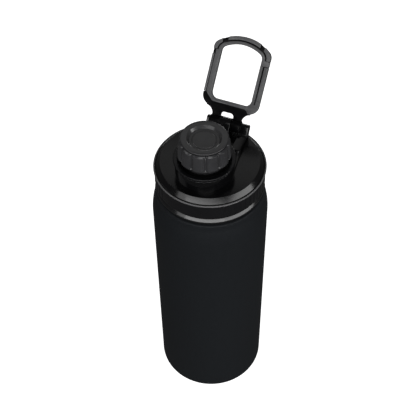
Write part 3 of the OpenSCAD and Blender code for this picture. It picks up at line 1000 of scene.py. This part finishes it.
@dataclass
class Hinge:
    """Hinge block with two ears and a barrel, its pin and its screws."""

    paint: Paintshop
    pivot: Vector
    deck: float
    spout_y: float = -8.5
    boss: float = 17.7
    ear: float = 2.9
    ear_in: float = 10.0
    ear_left: float = 11.8
    ear_right: float = 15.2
    barrel: float = 3.9
    knuckle: float = 4.0
    block: float = 2.1
    wall_top: float = -2.4
    pin: float = 1.54
    pin_left: float = 11.85
    pin_right: float = 13.8
    screw_x: float = 7.0
    screw_y: float = 15.0

    def _upright(self, outline: Outline, start: float, end: float, soften: float, work: Workpiece) -> None:
        """Adds an upright slice of the hinge.

        Args:
            outline: Its side view, about the pivot.
            start: Where it starts along X.
            end: Where it ends along X.
            soften: Width of its rounded edges.
            work: The workpiece to add it to.
        """
        side = Matrix(((0, 0, 1, 0), (1, 0, 0, 0), (0, 1, 0, 0), (0, 0, 0, 1)))
        place = Matrix.Translation(self.pivot + Vector(((start + end) / 2, 0, 0))) @ side
        work.plate(outline, end - start, soften, place)

    @property
    def foot(self) -> float:
        """Height of the deck, counted from the pivot."""
        return self.deck - self.pivot.z

    def _ear_outline(self) -> Outline:
        """Side view of an ear: round over the pin, with a slope down to a level wall.

        Returns:
            The outline, about the pivot.
        """
        return (turned_arc(0, 0, self.ear, -62, 118, 16)
                + rounded([Corner(-1.4, 2.5), Corner(-3.8, self.wall_top, 2.5),
                           Corner(-16.8, self.wall_top, 1.2), Corner(-19.5, self.foot + self.block - 0.2)],
                          5, False)
                + straight([(-19.5, self.foot + 0.02), (0, self.foot + 0.02)]))

    def _plan(self) -> Outline:
        """Plan of the block: from the hollow that meets the boss to its back edge.

        Returns:
            The outline.
        """
        return (straight([(self.ear_right, 26.2), (self.ear_right, 13), (17.4, -5)])
                + turned_arc(0, self.spout_y, self.boss + 0.05, 12, 168, 36)
                + straight([(-17.4, -5), (-self.ear_left, 13), (-self.ear_left, 27.8), (11.4, 27.9),
                            (13.5, 27.1)]))

    def block_piece(self) -> None:
        """The black block: a foot that meets the boss, two ears and the barrel."""
        work = Workpiece()
        work.plate(self._plan(), self.block, 0.35, Matrix.Translation((0, 0, self.deck + self.block / 2)))
        self._upright(self._ear_outline(), self.ear_in, self.ear_right, 1.1, work)
        self._upright(self._ear_outline(), -self.ear_left, -self.ear_in, 0.85, work)
        barrel = (turned_arc(0, 0, self.knuckle, -30, 140, 16)
                  + straight([(-9, self.foot + self.block), (-9, self.foot + 0.02), (1.6, self.foot + 0.02)]))
        self._upright(barrel, -self.barrel, self.barrel, 0.35, work)
        work.finish(
            "hinge_yoke", self.paint[Finishes.HINGE], Seat("lid", ("hinge_block",), "hinge_black"))

    def pin_piece(self) -> None:
        """Pin with chamfered ends."""
        outline = rounded([Corner(0, -self.pin_left), Corner(self.pin, -self.pin_left, 0.3),
                           Corner(self.pin, self.pin_right, 0.3), Corner(0, self.pin_right)], 3, False)
        across = Matrix.Translation(self.pivot) @ Matrix.Rotation(math.pi / 2, 4, "Y")
        work = Workpiece().lathe(outline, steps=48, closed=False)
        work.shape(lambda p: across @ p)
        work.finish(
            "hinge_pin_ground", self.paint[Finishes.PIN_STEEL], Seat("lid", ("hinge_pin",), "pin_steel"))

    def screws(self) -> None:
        """Two pan-head screws with round sockets."""
        work = Workpiece()
        socket, top, seat, end = self.deck + 1.4, self.deck + 2, self.deck + 1, self.deck - 2.5
        for x in (-self.screw_x, self.screw_x):
            screw = rounded([Corner(0, socket), Corner(1.05, socket), Corner(1.05, top, 0.1),
                             Corner(2.2, top, 0.2), Corner(2.2, seat), Corner(1, seat), Corner(1, end, 0.2),
                             Corner(0, end)], 3, False)
            work.lathe(screw, (x, self.screw_y), steps=36, closed=False)
        work.finish(
            "hinge_screw_pair", self.paint[Finishes.PIN_STEEL], Seat("lid", ("hinge_screws",), "pin_steel"))

    def build(self) -> None:
        """Makes the hinge's pieces."""
        self.block_piece()
        self.pin_piece()
        self.screws()


# --------------------------------------------------------------------- the cap


@dataclass
class Cap:
    """Screw cap over the spout: fluted knob, dished disc, threaded plug and seal."""

    paint: Paintshop
    lip: float
    spout: tuple[float, float]
    foot_radius: float = 16.2
    top_radius: float = 15.2
    disc: float = 13.9
    seat_rise: float = 16.2
    foot_rise: float = 36.1
    knob_rise: float = 47.8
    disc_rise: float = 49.3
    lobes: int = 11
    groove: float = 1.35
    thread: Thread = field(default_factory=Thread)

    def _flute(self, place: Vector) -> Vector:
        """Moves a vertex of the knob in where a groove runs, and rounds the lobes.

        Args:
            place: Where the vertex is.

        Returns:
            Where it goes.
        """
        x, y = place.x - self.spout[0], place.y - self.spout[1]
        radius = math.hypot(x, y)
        if radius < 14.05:
            return place
        half = 180 / self.lobes
        side = 1 - abs(math.degrees(math.atan2(y, x)) % (2 * half) - half) / half
        rise = min(1.0, max(0.0, (place.z - self.lip - self.foot_rise) / 0.9)) ** 0.5
        notch = self.groove * math.exp(-(side / 0.21) ** 2) * (0.35 + 0.65 * rise)
        belly = 0.35 * (1 - side) ** 2 * rise
        scale = max(13.5, radius - notch - belly) / radius
        return Vector((self.spout[0] + x * scale, self.spout[1] + y * scale, place.z))

    def knob(self) -> None:
        """Fluted knob with a bevelled top edge."""
        low, high = self.lip + self.foot_rise, self.lip + self.knob_rise
        rise = high - 1.1 - low
        foot, taper = self.foot_radius, self.foot_radius - self.top_radius
        wall = [Corner(14, low), Corner(foot - 0.2, low, 0.3), Corner(foot, low + 0.6, 0.3)]
        wall += [Corner(foot - taper * k / 6, low + 0.8 + (rise - 1) * k / 6) for k in range(1, 7)]
        wall += [Corner(self.top_radius - 0.05, high - 0.85, 0.25), Corner(14.1, high, 0.15),
                 Corner(13.1, high), Corner(13.1, high - 1.4), Corner(14, high - 2.2)]
        work = Workpiece().lathe(rounded(wall, 4), self.spout, steps=self.lobes * 32)
        work.shape(self._flute)
        work.finish("fluted_knob", self.paint[Finishes.KNOB], Seat("cap", ("cap_shell",), "knob_black"), 50)

    def top_disc(self) -> None:
        """Disc with a thin rim over a shadow gap, and a shallow dish."""
        low, high = self.lip + 47.9, self.lip + self.disc_rise
        outline = rounded([
            Corner(0, low - 1.6), Corner(13, low - 1.6), Corner(13, low + 0.5),
            Corner(self.disc, low + 0.5, 0.2), Corner(self.disc, high, 0.35), Corner(10.3, high, 0.35),
            Corner(9.0, high - 2.1, 0.5), Corner(7.4, high - 2.15, 0.2), Corner(7.2, high - 2.0, 0.15),
            Corner(6.9, high - 2.0, 0.15), Corner(6.7, high - 2.15, 0.2), Corner(0, high - 2.15)], 5, False)
        Workpiece().lathe(outline, self.spout, steps=144, closed=False).finish(
            "dished_disc", self.paint[Finishes.DISC], Seat("cap", ("cap_disc",), "disc_black"))

    def plug(self) -> None:
        """Threaded plug with its stub through the seal."""
        seat, foot = self.lip + self.seat_rise, self.lip + self.foot_rise
        shoulder = seat + 1.2
        outline = rounded([
            Corner(0, seat - 0.6), Corner(11.9, seat - 0.6, 0.3), Corner(11.9, shoulder),
            Corner(13.2, shoulder, 0.3), Corner(13.2, foot), Corner(13.9, foot), Corner(13.9, self.lip + 38.5),
            Corner(11.4, self.lip + 38.5), Corner(11.4, shoulder + 1.6, 0.5), Corner(0, shoulder + 1.6)], 4, False)
        work = Workpiece().lathe(outline, self.spout, steps=120, closed=False)
        work.ridge(12.9, 14.5, self.lip + 20.8, 2, self.thread, self.spout, start=180)
        work.finish("cap_plug", self.paint[Finishes.LINER], Seat("cap", ("cap_core",), "liner_black"))

    def seal(self) -> None:
        """Ring seal under the plug."""
        seat = self.lip + self.seat_rise
        outline = rounded([Corner(12, seat, 0.2), Corner(13.7, seat, 0.4), Corner(13.7, seat + 1.2, 0.4),
                           Corner(12, seat + 1.2, 0.2)])
        Workpiece().lathe(outline, self.spout, steps=96).finish(
            "cap_ring_seal", self.paint[Finishes.CLEAR_SEAL],
            Seat("cap_seal_ring", ("cap_seal",), "clear_silicone"))

    def build(self) -> None:
        """Makes the cap's pieces."""
        self.knob()
        self.top_disc()
        self.plug()
        self.seal()
        self.paint.dress("cap_insulation", Finishes.FOAM)


# ------------------------------------------------------------------ the handle


@dataclass(frozen=True)
class Ring:
    """An outline of the loop: straight sides, round corners and an arched top."""

    width: float
    bottom: float
    top: float
    low_corner: float
    top_corner: float
    arch: float

    def grown(self, by: float) -> "Ring":
        """The outline spread by a distance all round."""
        return Ring(self.width + 2 * by, self.bottom - by, self.top + by, self.low_corner + by,
                    self.top_corner + by, self.arch + by)

    def shoulder(self) -> tuple[Vector, float]:
        """Finds the right top corner.

        Returns:
            Its middle, and the angle where it meets the arch, in degrees.
        """
        across = self.width / 2 - self.top_corner
        up = math.sqrt((self.arch - self.top_corner) ** 2 - across ** 2)
        return Vector((across, self.top - self.arch + up)), math.degrees(math.atan2(up, across))

    def angle_at(self, x: float) -> float:
        """The direction in which the top of the outline faces.

        Args:
            x: Where, across the outline.

        Returns:
            The direction, in degrees.
        """
        middle, meet = self.shoulder()
        if abs(x) <= self.arch * math.cos(math.radians(meet)):
            return math.degrees(math.acos(x / self.arch))
        return math.degrees(math.acos((x - math.copysign(middle.x, x)) / self.top_corner))

    def top_run(self, right: float, left: float, steps: int = 24) -> Outline:
        """Runs over the top, from the right to the left.

        Args:
            right: Outward direction at the start, in degrees.
            left: Outward direction at the end, in degrees.
            steps: Segments in the arch.

        Returns:
            The points.
        """
        middle, meet = self.shoulder()
        points: Outline = []
        if right < meet:
            points += turned_arc(middle.x, middle.y, self.top_corner, right, min(left, meet), 8)
        if right < 180 - meet and left > meet:
            start, end = max(right, meet), min(left, 180 - meet)
            points += turned_arc(0, self.top - self.arch, self.arch, start, end, steps)
        if left > 180 - meet:
            points += turned_arc(-middle.x, middle.y, self.top_corner, max(right, 180 - meet), left, 8)
        return points

    def between(self, right: float, left: float, steps: int = 22) -> Outline:
        """Points over the top from above one x to above another."""
        return self.top_run(self.angle_at(right), self.angle_at(left), steps)


@dataclass
class Handle:
    """Carabiner handle: black core with hinge legs, grey rim, grey pads."""

    paint: Paintshop
    pivot: Vector
    lean: float
    thickness: float = 3.6
    web_thickness: float = 2.2
    loop: Ring = Ring(36, 8.6, 53.5, 6.5, 5.0, 26)
    opening: Ring = Ring(26, 13.4, 48.4, 4.0, 3.5, 23)
    rim: float = 1.9
    slot: float = 0.95
    bar_in: float = 16.3
    base_top: float = 11.4
    leg_in: float = 4.2
    leg_out: float = 9.8
    knuckle: float = 4.0
    gate_pin: Vector = field(default_factory=lambda: Vector((15.5, 13.2)))
    gate_end: float = 5.0
    gate_gap: float = 0.12
    gate_top: float = 39.0
    gate_step: float = 38.7
    nose_top: float = 42.2

    @property
    def place(self) -> Matrix:
        """Takes the handle's own plane, x across and y out from the hinge, to the bottle's frame."""
        return Matrix.Translation(self.pivot) @ Matrix.Rotation(self.lean, 4, "X")

    def _seam(self, right: float, left: float, radius: float) -> Outline:
        """Points of the seam's arc round the gate's pin, from one x to another."""
        start, end = (math.degrees(math.acos((x - self.gate_pin.x) / radius)) for x in (right, left))
        return turned_arc(self.gate_pin.x, self.gate_pin.y, radius, start, end, 10)

    def _at_seam(self, radius: float, top: float) -> Callable[[Vector], bool]:
        """A rule that is true on the seam's arc and along the gate's top."""
        return lambda p: abs((p.xy - self.gate_pin).length - radius) < 0.02 or abs(p.y - top) < 0.01

    def rim_piece(self) -> None:
        """Grey rim round the opening, with the lower corners and the nose."""
        half, inner = self.loop.width / 2, self.opening.width / 2
        edge = self.opening.grown(self.rim)
        low, corner = self.loop.low_corner, self.opening.low_corner
        radius, top = self.gate_end - self.gate_gap, self.gate_top + self.gate_gap
        outline = (
            list(reversed(self._seam(half, inner, radius)))
            + turned_arc(half - low, self.loop.bottom + low, low, 0, -80, 8)
            + rounded([Corner(12.6, 8.7), Corner(10.8, self.base_top - 0.1, 2.5),
                       Corner(-11.2, self.base_top, 2.5), Corner(-self.bar_in + 0.1, 16.0, 3),
                       Corner(-self.bar_in + 0.1, 30)], 5, False)[1:]
            + straight([(-self.bar_in + 0.1, 42.2), (-self.bar_in + 0.3, 42.6)])
            + list(reversed(edge.top_run(0, 180)))
            + straight([(half, self.nose_top), (half, top), (inner, top)])
            + self.opening.top_run(0, 180)
            + turned_arc(corner - inner, self.opening.bottom + corner, corner, 180, 270, 8)
            + turned_arc(inner - corner, self.opening.bottom + corner, corner, 270, 352, 8))
        Workpiece().plate(outline, self.thickness, 0.32, self.place, self._at_seam(radius, top)).finish(
            "loop_rim_grey", self.paint[Finishes.LOOP_GREY], Seat("handle", ("loop_rim",), "loop_grey"))

    def _web_outline(self) -> Outline:
        """Legs and flared web, up to the rim's bottom edge and round the lower left corner.

        Returns:
            The outline.
        """
        flare_x, flare_y, flare = 14.6, 3.2, 5.4
        window = rounded([Corner(-self.leg_in, 2), Corner(-self.leg_in, 6.8, 2), Corner(self.leg_in, 6.8, 2),
                          Corner(self.leg_in, 2)], 5, False)
        return (turned_arc(flare_x, flare_y, flare, 180, 98, 10)
                + rounded([Corner(13.6, 8.9), Corner(10.6, self.base_top + 0.3, 2.5),
                           Corner(-11.0, self.base_top + 0.3, 2.5), Corner(-self.bar_in + 0.4, 15.8, 3),
                           Corner(-self.bar_in + 0.4, 16.2)], 4, False)
                + turned_arc(-11.5, 15.1, 6.5, 172, 246, 10) + turned_arc(-flare_x, flare_y, flare, 84, 0, 10)
                + straight([(0.6 - self.leg_out, 0.2), (-self.leg_in, 0.2)]) + window
                + straight([(self.leg_in, 0.2), (self.leg_out - 0.6, 0.2)]))

    def core_piece(self) -> None:
        """Black core: hinge legs, flared web, the strip under the pads and the notches."""
        work = Workpiece().plate(self._web_outline(), 3.3, 0.5, self.place)
        edge, outer = self.opening.grown(self.rim - 0.1), self.loop.grown(-0.9)
        low = self.gate_step + 0.09
        strip = (straight([(outer.width / 2, low)]) + outer.top_run(0, 180)
                 + straight([(-17.1, 13.5), (0.2 - self.bar_in, 13.5), (0.2 - self.bar_in, 42.8)])
                 + list(reversed(edge.top_run(0, 176))) + straight([(edge.width / 2, low)]))
        work.plate(strip, self.web_thickness, 0.15, self.place)
        tooth = straight([(14.9, low), (17.85, low), (17.85, 42.75), (14.6, 42.75), (14.6, 41), (13.15, 41),
                          (13.15, self.gate_top + 0.04), (14.9, self.gate_top + 0.04)])
        work.plate(tooth, 3.1, 0.1, self.place)
        groove = straight([(14.85, 15.4), (15.7, 15.4), (15.7, 18.0), (14.85, 18.0)])
        work.plate(groove, self.thickness + 0.03, 0.02, self.place)
        for right, left in ((-10.1, -13.5), (13.1, 10.3)):
            block = (self.loop.grown(-0.25).between(right, left, 5)
                     + list(reversed(self.opening.grown(self.rim).between(right, left, 5))))
            work.plate(block, 3.2, 0.3, self.place)
        work.plate(straight([(-17.75, 39.7), (-self.bar_in + 0.1, 39.7), (-self.bar_in + 0.1, 42.7),
                             (-17.75, 42.7)]), 3.2, 0.3, self.place)
        across = self.place @ Matrix.Rotation(math.pi / 2, 4, "Y")
        barrels = Workpiece()
        for start, end in ((self.leg_in, self.leg_out), (-self.leg_out, -self.leg_in)):
            barrels.lathe(rounded([Corner(1.6, start), Corner(self.knuckle, start, 0.4),
                                   Corner(self.knuckle, end, 0.4), Corner(1.6, end)], 3), steps=56)
        barrels.shape(lambda p: across @ p)
        work.take(barrels)
        work.finish(
            "loop_core_black", self.paint[Finishes.LOOP_BLACK], Seat("handle", ("loop_core",), "loop_black"))

    def pads(self) -> None:
        """Grey pads that clip over the core between the notches."""
        inside = self.opening.grown(self.rim + self.slot)
        half, inner, base = self.loop.width / 2, inside.width / 2, self.nose_top + 0.3
        runs = {
            "pad_over_top": ("pad_top", self.loop.between(10.35, -10.15)
                             + list(reversed(inside.between(10.35, -10.15)))),
            "pad_left_bend": ("pad_left_corner", self.loop.top_run(self.loop.angle_at(-13.45), 180, 6)
                              + straight([(-half, 42.65), (-inner, 42.65)])
                              + list(reversed(inside.top_run(inside.angle_at(-13.45), 180, 6)))),
            "pad_right_bend": ("pad_right_corner", straight([(inner, base), (half, base)])
                               + self.loop.top_run(0, self.loop.angle_at(13.05), 6)
                               + list(reversed(inside.top_run(0, inside.angle_at(13.05), 6)))),
            "pad_left_side": ("pad_side", straight([(-half, 39.75), (-half, 16.25), (-self.bar_in - 0.3, 16.25),
                                                    (-self.bar_in - 0.3, 39.75)])),
        }
        for name, (node, outline) in runs.items():
            Workpiece().plate(outline, self.thickness, 0.35, self.place).finish(
                name, self.paint[Finishes.LOOP_GREY], Seat("handle", (node,), "loop_grey"))

    def gate(self) -> None:
        """Swinging bar: two grey strips on a black web, and the tongue."""
        half, inner = self.loop.width / 2, self.opening.width / 2
        slot_in = inner + self.rim - 0.1
        slot_out = slot_in + self.slot
        sharp = self._at_seam(self.gate_end, self.gate_top)
        work = Workpiece()
        for right, left, top in ((half, slot_out, self.gate_step), (slot_in, inner, self.gate_top)):
            strip = self._seam(right, left, self.gate_end) + straight([(left, top), (right, top)])
            work.plate(strip, self.thickness, 0.32, self.place, sharp)
        work.finish(
            "gate_bar", self.paint[Finishes.LOOP_GREY], Seat("gate_arm", ("gate",), "loop_grey"))
        web = Workpiece()
        level = self.gate_step + 0.04
        outline = (self._seam(half - 0.25, inner + 0.25, self.gate_end - 0.09)
                   + straight([(inner + 0.25, level), (half - 0.25, level)]))
        web.plate(outline, self.web_thickness, 0.1, self.place)
        pin = self.gate_pin
        tongue = (turned_arc(pin.x, pin.y, 1.6, 180, 360, 14)
                  + straight([(pin.x + 1.6, pin.y + 5.5), (pin.x - 1.6, pin.y + 5.5)]))
        web.plate(tongue, 1.2, 0.12, self.place @ Matrix.Translation((0, 0, -0.3)))
        web.finish(
            "gate_web", self.paint[Finishes.LOOP_BLACK], Seat("gate_arm", ("gate",), "loop_black"))

    def gate_hardware(self) -> None:
        """The gate's pin and spring."""
        spot = self.place @ Matrix.Translation((self.gate_pin.x, self.gate_pin.y, 0))
        pin = rounded([Corner(0, -1.5), Corner(0.8, -1.5, 0.2), Corner(0.8, 1.5, 0.2), Corner(0, 1.5)], 3, False)
        work = Workpiece().lathe(pin, steps=36, closed=False)
        work.shape(lambda p: spot @ p)
        work.finish(
            "gate_rivet", self.paint[Finishes.PIN_STEEL], Seat("handle", ("gate_pin",), "pin_steel"))
        work = Workpiece().coil(1.2, 0.15, (0.52, 0.86))
        work.shape(lambda p: spot @ p)
        work.finish(
            "gate_coil", self.paint[Finishes.SPRING_STEEL], Seat("gate_arm", ("gate_spring",), "spring_steel"))

    def build(self) -> None:
        """Makes the handle's pieces."""
        self.rim_piece()
        self.core_piece()
        self.pads()
        self.gate()
        self.gate_hardware()


# ------------------------------------------------------------------ the studio


@dataclass(frozen=True)
class Softbox:
    """A rectangular light: its name, place and size in metres, and its power in watts."""

    name: str
    place: tuple[float, float, float]
    size: tuple[float, float]
    power: float

    def hang(self, aim: Vector) -> None:
        """Hangs the light.

        Args:
            aim: The point it faces, in metres.
        """
        data = bpy.data.lights.new(self.name, "AREA")
        data.shape = "RECTANGLE"
        data.size, data.size_y = self.size
        data.energy = self.power
        lamp = bpy.data.objects.new(self.name, data)
        lamp.location = self.place
        lamp.rotation_euler = (aim - Vector(self.place)).to_track_quat("-Z", "Y").to_euler()
        bpy.context.scene.collection.objects.link(lamp)


SOFTBOXES = (
    Softbox("front_box", (0.25, -1.5, 0.52), (1.9, 0.42), 6),
    Softbox("front_wide", (0.1, -1.55, 0.58), (2.9, 0.6), 8),
    Softbox("right_box", (1.45, -0.42, 0.42), (1.9, 0.5), 9),
    Softbox("high_box", (0.5, -1.0, 1.6), (1.3, 0.5), 3),
    Softbox("left_box", (-1.3, -0.5, 1.4), (1.0, 0.4), 1.5),
    Softbox("back_box", (-0.35, 1.0, 1.35), (0.8, 0.35), 0.22),
    Softbox("back_fill", (-0.5, 1.5, 0.35), (1.6, 0.5), 10),
)


@dataclass
class Studio:
    """Pale floor, soft lights and the camera."""

    azimuth: float = 22.0
    elevation: float = 49.89
    roll: float = -0.46
    distance: float = 606.8
    aim_right: float = -0.17
    aim_height: float = 158.24
    lens: float = 81.25
    sensor: float = 36.0
    glow: float = 1.0
    room_light: float = 0.05
    light_height: float = 0.16

    def camera(self) -> None:
        """Sets the camera, looking down at the bottle from its front right."""
        turn = math.radians(self.azimuth)
        tilt = math.radians(self.elevation)
        right = Vector((math.cos(turn), math.sin(turn), 0))
        level = math.cos(tilt)
        forward = Vector((-math.sin(turn) * level, math.cos(turn) * level, -math.sin(tilt)))
        up = right.cross(forward)
        roll = Matrix.Rotation(math.radians(self.roll), 3, forward)
        right, up = roll.inverted() @ right, roll.inverted() @ up
        axes = Matrix((right, up, -forward)).transposed().to_4x4()
        aim = Vector((math.cos(turn), math.sin(turn), 0)) * self.aim_right + Vector((0, 0, self.aim_height))
        data = bpy.data.cameras.new("camera")
        data.lens = self.lens
        data.sensor_width = self.sensor
        data.clip_start = 0.01
        camera = bpy.data.objects.new("camera", data)
        camera.matrix_world = Matrix.Translation((aim - forward * self.distance) * MM) @ axes
        bpy.context.scene.collection.objects.link(camera)
        bpy.context.scene.camera = camera

    def floor(self) -> None:
        """Lays a wide white floor that glows, as a light table does, and isn't mirrored in the bottle."""
        work = bmesh.new()
        bmesh.ops.create_grid(work, x_segments=4, y_segments=4, size=12.0)
        mesh = bpy.data.meshes.new("floor")
        work.to_mesh(mesh)
        work.free()
        bench = Bench("pale_floor")
        speck = bench.noise(40.0, 2.0)
        bench.set(base_color=bench.blend(speck, (0.86, 0.86, 0.86, 1), (0.9, 0.9, 0.9, 1)), roughness=0.75,
                  emission_color=(1, 1, 1, 1), emission_strength=self.glow)
        mesh.materials.append(bench.material)
        floor = bpy.data.objects.new("floor", mesh)
        floor.visible_glossy = floor.visible_diffuse = False
        bpy.context.scene.collection.objects.link(floor)

    def sky(self, strength: float) -> None:
        """Fills the room with even white light, and keeps white as white.

        Args:
            strength: The light's strength.
        """
        world = bpy.data.worlds.new("studio")
        world.use_nodes = True
        world.node_tree.nodes["Background"].inputs["Color"].default_value = (1, 1, 1, 1)
        world.node_tree.nodes["Background"].inputs["Strength"].default_value = strength
        bpy.context.scene.world = world
        bpy.context.scene.view_settings.view_transform = "Standard"

    def build(self) -> None:
        """Sets up the studio."""
        self.camera()
        self.floor()
        self.sky(self.room_light)
        for box in SOFTBOXES:
            box.hang(Vector((0, 0, self.light_height)))


# ------------------------------------------------------------------------ main


def joint(name: str) -> dict:
    """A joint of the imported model, by name."""
    return next(j for j in frame["joints"] if j["name"] == name)


def main() -> None:
    """Builds the bottle and its studio, in order."""
    logging.basicConfig(level=logging.INFO, format="%(name)s: %(message)s")
    paint = Paintshop()
    bottle = Bottle(paint)
    lid = Lid(paint, bottle.lip)
    pivot = Vector(joint("handle_swing")["pos_m"]) / MM
    across = joint("gate_swing")["axis"]
    lean = math.atan2(-across[1], across[2])
    Studio().build()
    bottle.build()
    lid.build()
    Hinge(paint, pivot, lid.deck_height).build()
    Cap(paint, bottle.lip, lid.spout).build()
    Handle(paint, pivot, lean).build()


if __name__ == "__main__":
    main()
